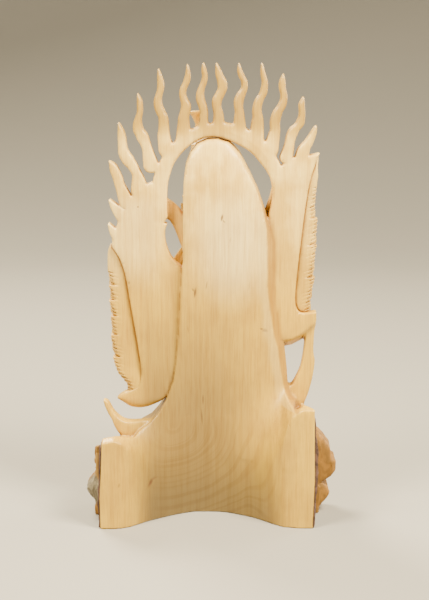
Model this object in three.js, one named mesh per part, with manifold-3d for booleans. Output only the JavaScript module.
// Carved wooden bust of Rama and Sita in front of a flame aureole, cut from one block with a rough burl foot.
// Millimetres, +Z up. The two faces look along -Y, and +X is to the right of someone facing them.
// The shapes are drawn round the middle of the foot; the finished carving is then centred on its bounds.
import * as THREE from "three";
import { mergeVertices } from "three/addons/utils/BufferGeometryUtils.js";
import Module from "manifold-3d";

const wasm = await Module();
wasm.setup();

// Driving sizes of the block
const HEIGHT = 480; // underside to the tallest flame tips
const BASE_HALF_WIDTH = 114; // half the width of the flat foot
const TRUNK_TOP = 405; // top of the smooth dome behind the two heads

// Depths, from the faces at the front (-Y) to the corners of the foot at the back (+Y)
const CORNER_BACK = 72; // back of the foot's two corners
const COVE_DEPTH = 57; // how far the foot is hollowed between the corners
const COVE_CENTRE_X = 3;
const COVE_HALF_WIDTH = 104;
const BOARD_BACK = 22; // back of the aureole board
const BOARD_THICKNESS = 15;
const BOARD_EDGE = 2.4; // rounding of the board's edges
const TIP_HALF_WIDTH = 2; // half width of a flame just below its tip
const FOOT_FRONT = -34; // front of the foot under the burl
const TOP_SLOPE = 0.2; // fall of the foot's top towards the front

// Aureole ring: two ellipses round one centre
const RING_CENTRE = { x: -13, z: 337 };
const RING_INNER = { x: 56, z: 68 };
const RING_OUTER = { x: 74, z: 84 };

// Outlines of the smooth trunk, as half-plane profiles [x, z] from the foot to the dome
const TRUNK_PLUS_SIDE = [
  [114, 0], [115, 32], [113, 64], [111, 90], [109, 97], [80, 99], [60, 104], [52, 114], [44, 127],
  [36, 148], [33, 168], [29, 215], [26, 270], [25, 330], [24, 360], [20, 382], [12, 397], [0, 404],
];
const TRUNK_MINUS_SIDE = [
  [-114, 0], [-116, 50], [-115, 100], [-112, 127], [-98, 132], [-88, 137], [-84, 143],
  [-82, 165], [-81, 190], [-74, 225], [-67, 280], [-63, 325], [-54, 350], [-44, 370], [-34, 388], [-24, 399], [-12, 404],
];
const TRUNK_LEVELS = [0, 32, 64, 82, 90, 97, 99, 104, 114, 127, 132, 148, 168, 215, 270, 325, 350, 370, 388, 399, 405];
const BLOCK_TOP = { plus: 98, minus: 131 }; // tops of the foot's two corner blocks
const TRUNK_COLUMNS = 12;

// Flames of the aureole: middle line from the root to the tip, and half width near the root
const FLAMES = [
  { line: [[82, 330], [91, 351], [93, 365], [101, 381]], half: 5.6 },
  { line: [[66, 345], [74, 369], [83, 386], [87, 403], [90, 419]], half: 5.4 },
  { line: [[52, 370], [61, 386], [63, 400], [71, 415], [69, 432], [71, 451]], half: 5.4 },
  { line: [[38, 390], [45, 405], [45, 423], [50, 440], [46, 459], [50, 473]], half: 5.2 },
  { line: [[24, 402], [26, 415], [22, 434], [24, 451], [19, 468], [19, HEIGHT]], half: 5.2 },
  { line: [[6, 408], [4, 430], [7, 449], [2, 466], [3, HEIGHT]], half: 5.2 },
  { line: [[-13, 408], [-13, 425], [-10, 442], [-15, 457], [-10, HEIGHT]], half: 5.2 },
  { line: [[-31, 406], [-34, 425], [-32, 442], [-38, 459], [-33, HEIGHT]], half: 5.2 },
  { line: [[-49, 398], [-51, 420], [-52, 439], [-60, 459], [-57, HEIGHT]], half: 5.2 },
  { line: [[-63, 388], [-69, 405], [-70, 423], [-78, 447], [-78, 469]], half: 5.3 },
  { line: [[-76, 374], [-84, 389], [-86, 406], [-98, 427], [-98, 447]], half: 5.4 },
  { line: [[-100, 366], [-101, 388], [-105, 402], [-112, 417]], half: 8 },
  { line: [[82, 316], [93, 327], [101, 341]], half: 8 },
  { line: [[86, 284], [94, 298], [104, 313]], half: 9 },
];

// Boards beside the figures, which the ring runs down into
const WING_PLUS = [
  [44, 352], [60, 356], [76, 346], [86, 330], [94, 312], [99, 296], [93, 279], [87, 264], [83, 240],
  [79, 213], [75, 186], [72, 166], [78, 150], [95, 129], [89, 121], [77, 117], [62, 120], [47, 132], [30, 150],
  [10, 180], [6, 262], [24, 269], [38, 281], [43, 294], [44, 312],
];
const WING_MINUS = [
  [-68, 350], [-76, 372], [-90, 384], [-104, 386], [-115, 389], [-107, 356], [-101, 330], [-98, 290],
  [-95, 250], [-95, 233], [-102, 221], [-115, 222], [-112, 208], [-104, 198], [-90, 190], [-70, 196],
  [-40, 230], [-40, 300], [-64, 325], [-69, 334],
];

// Feathered strips in front of the boards' outer edges
const STRIP_PLUS = { outer: [[98, 304], [105, 284], [105, 250], [103, 200], [101, 165], [89, 137]], inner: [[66, 150], [66, 210], [80, 285]] };
const STRIP_MINUS = { outer: [[-114, 384], [-117, 352], [-117, 310], [-115, 270], [-112, 240], [-106, 219]], inner: [[-86, 226], [-88, 300], [-100, 365]] };
const STRIP_BACK = 17;
const STRIP_THICKNESS = 22;
const FEATHER_ROWS = [
  { inset: 9, front: -10, count: 7 },
  { inset: 21, front: -9, count: 6 },
];
const FEATHER_PITCH = 17;
const FEATHER_NOTCH = 2.2;

// Strand of hair that crosses the gap beside the taller head
const STRAND = [[46, 343], [40, 342], [22, 324], [22, 297], [27, 297], [36, 312], [46, 324]];

// Horn-shaped leaves that rise from the foot
const HORN_PLUS = [
  [105, 129], [97, 118], [89, 109], [80, 104], [66, 103], [48, 92], [66, 86], [84, 86], [97, 99], [104, 114], [108, 126],
];
const HORN_MINUS = [
  [-104, 226], [-103, 196], [-101, 178], [-97, 161], [-92, 148], [-86, 140], [-76, 130], [-84, 112], [-100, 118],
  [-107, 134], [-112, 156], [-112, 184], [-113, 205], [-115, 221],
];

// Figures. head is the middle of the head; lean tips it towards +X and turn swings it, both in degrees.
// shoulder is the middle of the shoulders and waist the X of the waist below them.
const RAMA = {
  head: [2, -14, 301], lean: 3, turn: 7, size: 1, crown: 112, crownRadius: 21,
  shoulder: [24, -6, 240], waist: 4, halfWidth: 46, arm: [[62, -12, 230], [66, -19, 204], [56, -33, 182], [34, -42, 177]],
};
const SITA = {
  head: [-42, -16, 281], lean: 9, turn: -7, size: 0.94, crown: 84, crownRadius: 18,
  shoulder: [-50.4, -9.3, 221.6], waist: -46, halfWidth: 40, arm: [[-80, -17, 212], [-74, -25, 189], [-62, -37, 172], [-42, -45, 170]],
};
const HEAD = { halfWidth: 22.5, halfDepth: 27, halfHeight: 31 };

// Torso sections: height above the shoulders, half width as a share of the shoulders, half depth
const TORSO = [
  [-140, 0.72, 24], [-96, 0.64, 26], [-50, 0.74, 30], [-10, 0.98, 26],
  [2, 0.94, 19], [9, 0.55, 15], [16, 0.28, 13], [38, 0.25, 12],
];

function toSolid(geometry) {
  const bare = geometry.index ? geometry.toNonIndexed() : geometry.clone();
  for (const name of Object.keys(bare.attributes)) {
    if (name !== "position") bare.deleteAttribute(name);
  }
  const merged = mergeVertices(bare, 1e-4);
  const corners = merged.index.array;
  const triangles = [];
  for (let i = 0; i < corners.length; i += 3) {
    const [a, b, c] = corners.slice(i, i + 3);
    // a lathe's flat ends leave triangles that have shrunk to a line
    if (a !== b && b !== c && c !== a) triangles.push(a, b, c);
  }
  return new wasm.Manifold(
    new wasm.Mesh({
      numProp: 3,
      vertProperties: merged.attributes.position.array,
      triVerts: new Uint32Array(triangles),
    }),
  );
}

function toGeometry(solid) {
  const mesh = solid.getMesh();
  const geometry = new THREE.BufferGeometry();
  geometry.setAttribute("position", new THREE.BufferAttribute(mesh.vertProperties, mesh.numProp));
  geometry.setIndex(new THREE.BufferAttribute(mesh.triVerts, 1));
  return geometry;
}

// Moves every vertex of a geometry to where the function puts it.
function reshape(geometry, place) {
  const position = geometry.attributes.position;
  const point = new THREE.Vector3();
  for (let i = 0; i < position.count; i += 1) {
    point.fromBufferAttribute(position, i);
    place(point);
    position.setXYZ(i, point.x, point.y, point.z);
  }
  return geometry;
}

// Straight interpolation of x at a height, along a profile of [x, z] points.
function sideAt(profile, z) {
  let i = 1;
  while (i < profile.length - 1 && profile[i][1] < z) i += 1;
  const [x0, z0] = profile[i - 1];
  const [x1, z1] = profile[i];
  const t = THREE.MathUtils.clamp((z - z0) / (z1 - z0), 0, 1);
  return x0 + (x1 - x0) * t;
}

function bell(distance, halfWidth) {
  return Math.abs(distance) < halfWidth ? 0.5 + 0.5 * Math.cos((Math.PI * distance) / halfWidth) : 0;
}

// Back surface of the trunk: a cove between two upright corner blocks that rises into a rounded ridge.
function backAt(x, z) {
  const left = sideAt(TRUNK_MINUS_SIDE, z);
  const right = sideAt(TRUNK_PLUS_SIDE, z);
  const across = THREE.MathUtils.clamp((2 * x - left - right) / (right - left), -1, 1);
  const ridge = CORNER_BACK - COVE_DEPTH + 1 + 19 * Math.sin(Math.PI * THREE.MathUtils.clamp(z / 600, 0, 1));
  const edge = 9 * THREE.MathUtils.smoothstep(z, 100, 180);
  const trunkBack = ridge - edge * across ** 4 - 9 * THREE.MathUtils.smoothstep(z, 340, TRUNK_TOP);
  const corner = 1 - bell(x - COVE_CENTRE_X, COVE_HALF_WIDTH);
  const blockTop = x < 0 ? BLOCK_TOP.minus : BLOCK_TOP.plus;
  const start = THREE.MathUtils.lerp(50, blockTop - 11, corner ** 2);
  const end = THREE.MathUtils.lerp(165, blockTop, corner ** 2);
  const standing = corner * (1 - THREE.MathUtils.smoothstep(z, start, end));
  return THREE.MathUtils.lerp(trunkBack, CORNER_BACK, standing);
}

function frontAt(x, z) {
  const foot = FOOT_FRONT + 36 * Math.abs(x / BASE_HALF_WIDTH) ** 3;
  return THREE.MathUtils.lerp(foot, -8, THREE.MathUtils.smoothstep(z, 90, 120));
}

// The foot's top falls away towards the front, so that the gap under the wing stays clear from behind.
function settle(y, z) {
  const share = Math.min(z / 82, 1) * (1 - THREE.MathUtils.smoothstep(z, 104, 165));
  return z - TOP_SLOPE * Math.max(0, CORNER_BACK - 6 - y) * share;
}

function trunk() {
  const box = new THREE.BoxGeometry(1, 1, 1, TRUNK_COLUMNS, 2, TRUNK_LEVELS.length - 1);
  reshape(box, (p) => {
    const z = TRUNK_LEVELS[Math.round((p.z + 0.5) * (TRUNK_LEVELS.length - 1))];
    const left = sideAt(TRUNK_MINUS_SIDE, z);
    const right = sideAt(TRUNK_PLUS_SIDE, z);
    const across = p.x * 2;
    const depth = p.y + 0.5;
    // the middle layers of depth stand out a little, so the sides are rounded
    const roundSide = 1 - 0.01 * (2 * depth - 1) ** 2;
    const x = (left + right) / 2 + (across * roundSide * (right - left)) / 2;
    const y = THREE.MathUtils.lerp(frontAt(x, z), backAt(x, z), depth);
    p.set(x, y, settle(y, z));
  });
  return toSolid(box);
}

// Extrudes a closed outline of [x, z] points through a depth, with rounded edges. back is its largest Y.
function slab(points, back, thickness, edge, holes = []) {
  const flat = (list) => list.map(([x, z]) => new THREE.Vector2(x, z));
  const shape = new THREE.Shape(flat(points));
  holes.forEach((hole) => shape.holes.push(new THREE.Path(flat(hole))));
  const geometry = new THREE.ExtrudeGeometry(shape, {
    depth: thickness - 2 * edge,
    steps: 1,
    bevelEnabled: edge > 0,
    bevelThickness: edge,
    bevelSize: edge,
    bevelOffset: -edge,
    bevelSegments: 1,
  });
  // the outline is drawn in X and Y and extruded along +Z, so it is stood up and its far face put at the back
  geometry.rotateX(Math.PI / 2);
  geometry.translate(0, back - edge, 0);
  return toSolid(geometry);
}

function spline(points, count, closed = true) {
  const curve = new THREE.CatmullRomCurve3(points.map(([x, z]) => new THREE.Vector3(x, 0, z)), closed, "centripetal");
  return curve.getPoints(count).slice(0, closed ? -1 : undefined).map((p) => [p.x, p.z]);
}

// Outline of one flame: a blade of falling width along its wavy middle line.
function flameOutline({ line, half }) {
  const middle = new THREE.CatmullRomCurve3(line.map(([x, z]) => new THREE.Vector3(x, 0, z)), false, "centripetal");
  const steps = 2 * (line.length - 1);
  const one = [];
  const other = [];
  for (let i = 0; i < steps; i += 1) {
    const t = i / (steps - 0.85);
    const centre = middle.getPointAt(t);
    const along = middle.getTangentAt(t);
    const width = TIP_HALF_WIDTH + (half - TIP_HALF_WIDTH) * (1 - t ** 2.5);
    one.push([centre.x + along.z * width, centre.z - along.x * width]);
    other.push([centre.x - along.z * width, centre.z + along.x * width]);
  }
  return [...other, line.at(-1), ...one.reverse()];
}

function ellipse({ x, z }, { x: rx, z: rz }, count) {
  return Array.from({ length: count }, (_, i) => {
    const angle = (2 * Math.PI * i) / count;
    return [x + rx * Math.cos(angle), z + rz * Math.sin(angle)];
  });
}

function aureole() {
  // wings and flames lie a little lower on both faces than the ring they grow from
  const lower = (points, step, edge) => slab(points, BOARD_BACK - step, BOARD_THICKNESS - 2 * step, edge);
  const ring = slab(ellipse(RING_CENTRE, RING_OUTER, 28), BOARD_BACK, BOARD_THICKNESS, BOARD_EDGE, [
    ellipse(RING_CENTRE, RING_INNER, 28).reverse(),
  ]);
  const lowerRing = slab([[-60, 240], [60, 240], [60, 318], [-60, 318]], 60, 100, 0);
  const flames = FLAMES.map((flame, i) => lower(flameOutline(flame), 0.9 + 0.11 * (i % 3), 0));
  const wings = [lower(spline(WING_PLUS, 31), 0.35, BOARD_EDGE), lower(spline(WING_MINUS, 28), 0.45, BOARD_EDGE)];
  return [ring.subtract(lowerRing), ...wings, ...flames];
}

// A strip whose outer edge is notched like a row of feather tips.
function strip({ outer, inner }, side) {
  const smooth = new THREE.CatmullRomCurve3(outer.map(([x, z]) => new THREE.Vector3(x, 0, z)));
  const feathers = Math.round(smooth.getLength() / FEATHER_PITCH);
  const edge = [];
  for (let i = 0; i < feathers; i += 1) {
    [0.06, 0.45, 0.8, 0.98].forEach((t) => {
      const p = smooth.getPointAt(Math.min(1, (i + t) / feathers));
      const notch = FEATHER_NOTCH * (1 - Math.sin(Math.PI * Math.min(1, t * 0.9)));
      edge.push([p.x - side * notch, p.z]);
    });
  }
  return slab([...edge, ...inner], STRIP_BACK, STRIP_THICKNESS, 0);
}

// Rows of overlapping feathers on the front of a strip and of the board beside it, pointing down and outwards.
function feathers({ outer }, side) {
  const edge = new THREE.CatmullRomCurve3(outer.map(([x, z]) => new THREE.Vector3(x, 0, z)));
  const forms = [];
  FEATHER_ROWS.forEach(({ inset, front, count }) => {
    for (let i = 0; i < count; i += 1) {
      const at = edge.getPointAt((i + 0.5) / count);
      const feather = new THREE.SphereGeometry(1, 6, 3);
      feather.rotateX(Math.PI / 2).scale(7.5, 4.5, 19).rotateX(-0.12).rotateY(side * -0.35);
      forms.push(toSolid(feather.translate(at.x - side * inset, front, at.z)));
    }
  });
  return forms;
}

// Head of one figure in its own frame: origin at its middle, looking along -Y.
function headForm() {
  const sphere = new THREE.SphereGeometry(1, 14, 10);
  sphere.rotateX(Math.PI / 2);
  return reshape(sphere, (p) => {
    const facing = THREE.MathUtils.smoothstep(-p.y, 0.1, 0.8);
    const jaw = THREE.MathUtils.smoothstep(-p.z, 0.05, 1);
    const cheek = bell(p.z + 0.12, 0.5) * bell(Math.abs(p.x) - 0.5, 0.4) * facing;
    const socket = bell(p.z - 0.12, 0.24) * bell(Math.abs(p.x) - 0.36, 0.3) * facing;
    const chin = bell(p.z + 0.86, 0.3) * bell(p.x, 0.4) * facing;
    p.set(
      p.x * HEAD.halfWidth * (1 - 0.28 * jaw),
      p.y * HEAD.halfDepth * (1 - 0.1 * facing) - 2 * cheek + 3 * socket - 2.5 * chin,
      p.z * HEAD.halfHeight,
    );
  });
}

function noseForm() {
  const cone = new THREE.CylinderGeometry(1.6, 4.2, 15, 7, 1);
  cone.rotateX(Math.PI / 2);
  return reshape(cone, (p) => p.set(p.x, p.y * 1.1 - 22.5 + p.z * 0.18, p.z - 0.5));
}

function lipsForm() {
  const ball = new THREE.SphereGeometry(1, 8, 4);
  return ball.scale(6, 3, 2.6).translate(0, -22.5, -14.5);
}

function earForm(side) {
  const ball = new THREE.SphereGeometry(1, 6, 5);
  return ball.scale(3.4, 5, 13).translate(side * 20.5, 0, -6);
}

// Stepped crown: bands that narrow towards a flared lotus finial.
function crownForm(height, radius) {
  const profile = [
    [0, -2], [radius + 1.5, -2], [radius + 2.5, 3], [radius + 0.5, 7], [radius + 1, 0.2 * height],
    [0.78 * radius, 0.26 * height], [0.8 * radius, 0.4 * height], [0.56 * radius, 0.46 * height],
    [0.58 * radius, 0.6 * height], [0.36 * radius, 0.68 * height], [0.24 * radius, 0.84 * height],
    [0.42 * radius, height], [0, height],
  ];
  const lathe = new THREE.LatheGeometry(profile.map(([r, h]) => new THREE.Vector2(r, h)), 12);
  lathe.rotateX(Math.PI / 2);
  return lathe.scale(1, 1.12, 1);
}

// Upright leaf of the diadem above the brow.
function diademLeaf(angle, radius, height) {
  const points = [[-6, -3], [-7, 4], [-3.5, 0.65 * height], [0, height], [3.5, 0.65 * height], [7, 4], [6, -3]];
  const shape = new THREE.Shape(points.map(([x, z]) => new THREE.Vector2(x, z)));
  const leaf = new THREE.ExtrudeGeometry(shape, { depth: 5, bevelEnabled: false, steps: 1 });
  leaf.rotateX(Math.PI / 2);
  leaf.translate(0, 2.5 - radius * 1.12, 0);
  return leaf.rotateZ(angle);
}

function figure(person) {
  const { head, lean, turn, size, crown, crownRadius } = person;
  const pose = new THREE.Matrix4()
    .makeTranslation(...head)
    .multiply(new THREE.Matrix4().makeRotationY(THREE.MathUtils.degToRad(lean)))
    .multiply(new THREE.Matrix4().makeRotationZ(THREE.MathUtils.degToRad(turn)))
    .scale(new THREE.Vector3(size, size, size));
  const crownForms = [crownForm(crown, crownRadius)];
  [-1.1, -0.55, 0, 0.55, 1.1].forEach((angle) => {
    crownForms.push(diademLeaf(angle, crownRadius + 1.5, 20 - 4 * Math.abs(angle)));
  });
  crownForms.forEach((form) => form.rotateX(0.1).translate(0, 1, 17));
  const headForms = [headForm(), noseForm(), lipsForm(), earForm(-1), earForm(1)];
  const posed = [...headForms, ...crownForms].map((form) => toSolid(form.applyMatrix4(pose)));
  return [...posed, ...bust(person)];
}

// Chest, shoulders and neck in one skin, whose sections swing over to stand under the head.
function torso({ head, shoulder, waist, halfWidth }) {
  const [x, y, z] = shoulder;
  const levels = TORSO.length - 1;
  const tube = new THREE.CylinderGeometry(1, 1, 1, 11, levels);
  tube.rotateX(Math.PI / 2);
  return reshape(tube, (p) => {
    const [rise, share, depth] = TORSO[Math.round((p.z + 0.5) * levels)];
    const swing = THREE.MathUtils.smoothstep(rise, 0, 24);
    const lift = THREE.MathUtils.smoothstep(rise, -110, -10);
    const middle = THREE.MathUtils.lerp(THREE.MathUtils.lerp(waist, x, lift), head[0], swing);
    p.set(middle + p.x * halfWidth * share, y + p.y * depth, z + rise);
  });
}

function necklace([x, y, z], radius, drop) {
  const ring = new THREE.TorusGeometry(radius, 2.8, 4, 12);
  return ring.rotateX(THREE.MathUtils.degToRad(drop)).translate(x, y - 7, z);
}

// Upper arm and forearm in one skin along their joints.
function arm(joints) {
  const path = new THREE.CatmullRomCurve3(joints.map((joint) => new THREE.Vector3(...joint)));
  const frames = path.computeFrenetFrames(8);
  const limb = new THREE.CylinderGeometry(1, 1, 1, 8, 8);
  return reshape(limb, (p) => {
    const t = 0.5 - p.y;
    const i = Math.round(8 * t);
    const radius = 13 - 5 * t;
    const centre = path.getPointAt(t);
    centre.addScaledVector(frames.normals[i], p.x * radius).addScaledVector(frames.binormals[i], p.z * radius);
    p.copy(centre);
  });
}

function bust(person) {
  const [x, y, z] = person.shoulder;
  const neckX = (person.head[0] + x) / 2;
  const collar = necklace([neckX, y - 3, z + 4], 0.44 * person.halfWidth, 28);
  return [torso(person), collar, arm(person.arm)].map(toSolid);
}

// Petals that stand round the front of the foot, under the two busts.
function petals() {
  const count = 9;
  return Array.from({ length: count }, (_, i) => {
    const along = (2 * i) / (count - 1) - 1;
    const petal = new THREE.SphereGeometry(1, 6, 5);
    petal.rotateX(Math.PI / 2).scale(13, 7, 22).rotateX(0.25).rotateY(0.5 * along);
    petal.translate(-30 + 54 * along, -36 + 14 * along ** 2, 98 - 8 * along ** 2 - 5 * (i % 2));
    return toSolid(petal);
  });
}

// Natural burl that wraps the front of the foot: [z, reach towards -X, reach towards +X, reach forwards]
const BURL_REACH = [
  [0, 118, 112, 20], [8, 124, 114, 27], [18, 132, 124, 32], [28, 130, 130, 30], [34, 123, 126, 26], [44, 137, 117, 29],
  [56, 138, 115, 32], [70, 132, 112, 27], [80, 127, 108, 20], [90, 116, 100, 11], [97, 100, 88, 2],
];
const BURL_COLUMNS = 18;

function burl() {
  const levels = BURL_REACH.length - 1;
  const box = new THREE.BoxGeometry(1, 1, 1, BURL_COLUMNS, 2, levels);
  return reshape(box, (p) => {
    const [z, minus, plus, reach] = BURL_REACH[Math.round((p.z + 0.5) * levels)];
    const across = 2 * p.x;
    const depth = p.y + 0.5;
    // flutes fan upwards from low on the block and break into knobs
    const flute = Math.sin(19 * across + 0.05 * z * across) + 0.7 * Math.sin(31 * across - 0.09 * z);
    const knob = Math.sin(0.19 * z + 9 * across) * Math.cos(0.11 * z - 15 * across);
    const ends = Math.sqrt(Math.max(0, 1 - across ** 6));
    const front = FOOT_FRONT + 20 - (reach + 2.4 * flute + 2.8 * knob + 9 * bell(across + 0.35, 0.8)) * ends;
    const sides = 1 - 0.16 * (1 - depth) ** 2;
    const x = across < 0 ? across * minus : across * plus;
    const y = THREE.MathUtils.lerp(front, 22, depth);
    p.set(x * sides, y, settle(y, z));
  });
}

function carving() {
  const forms = [
    trunk(),
    ...aureole(),
    strip(STRIP_PLUS, 1),
    strip(STRIP_MINUS, -1),
    slab(spline(HORN_PLUS, 22), 44, 18, 0),
    slab(spline(HORN_MINUS, 25), 32, 18, 0),
    ...feathers(STRIP_PLUS, 1),
    ...feathers(STRIP_MINUS, -1),
    ...figure(RAMA),
    ...figure(SITA),
    ...petals(),
    toSolid(burl()),
    slab(STRAND, 14, 15, 0),
  ];
  // the outer skin is the largest body; pockets closed in between the forms stay solid wood
  const [skin] = wasm.Manifold.union(forms)
    .decompose()
    .sort((one, other) => other.volume() - one.volume());
  return toGeometry(skin);
}

// The origin goes to the middle of the carving's bounds, on its underside.
const geometry = carving();
geometry.computeBoundingBox();
const middle = geometry.boundingBox.getCenter(new THREE.Vector3());
geometry.translate(-middle.x, -middle.y, 0);

const wood = new THREE.MeshStandardMaterial({ color: 0xe3c48f, roughness: 0.5, metalness: 0 });
const group = new THREE.Group();
const mesh = new THREE.Mesh(geometry, wood);
mesh.name = "rama_sita_carving";
group.add(mesh);

export default group;
